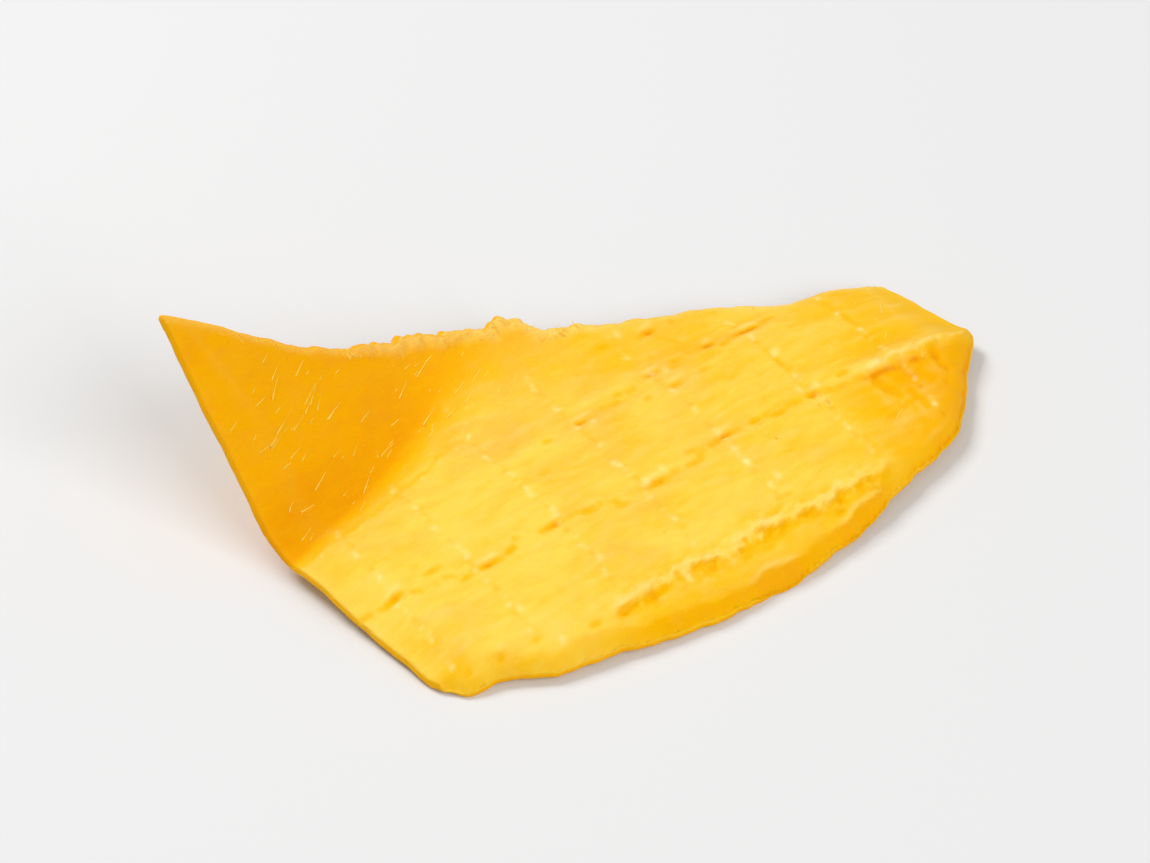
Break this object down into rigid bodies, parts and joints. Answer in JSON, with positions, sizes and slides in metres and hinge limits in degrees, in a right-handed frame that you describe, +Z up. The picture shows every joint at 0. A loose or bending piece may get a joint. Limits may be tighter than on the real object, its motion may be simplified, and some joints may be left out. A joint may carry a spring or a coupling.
{
  "type": "dried mango slice",
  "caption": "Leathery flat slice of dried mango with a rounded outer margin, straight knife cuts and one corner curled up.",
  "frame": {"origin": "middle of the slice's footprint, on the surface it lies on", "axes": "+Z up; +X along the longest extent, from the curled stem corner towards the tip cut; +Y from the rounded outer margin towards the torn cut beside the stone"},
  "size_m": [0.0798, 0.056, 0.0233],
  "materials": {
    "mango_flesh": "waxy matte"
  },
  "bodies": {
    "root": {"mango_slice": "mango_flesh"}
  },
  "joints": []
}
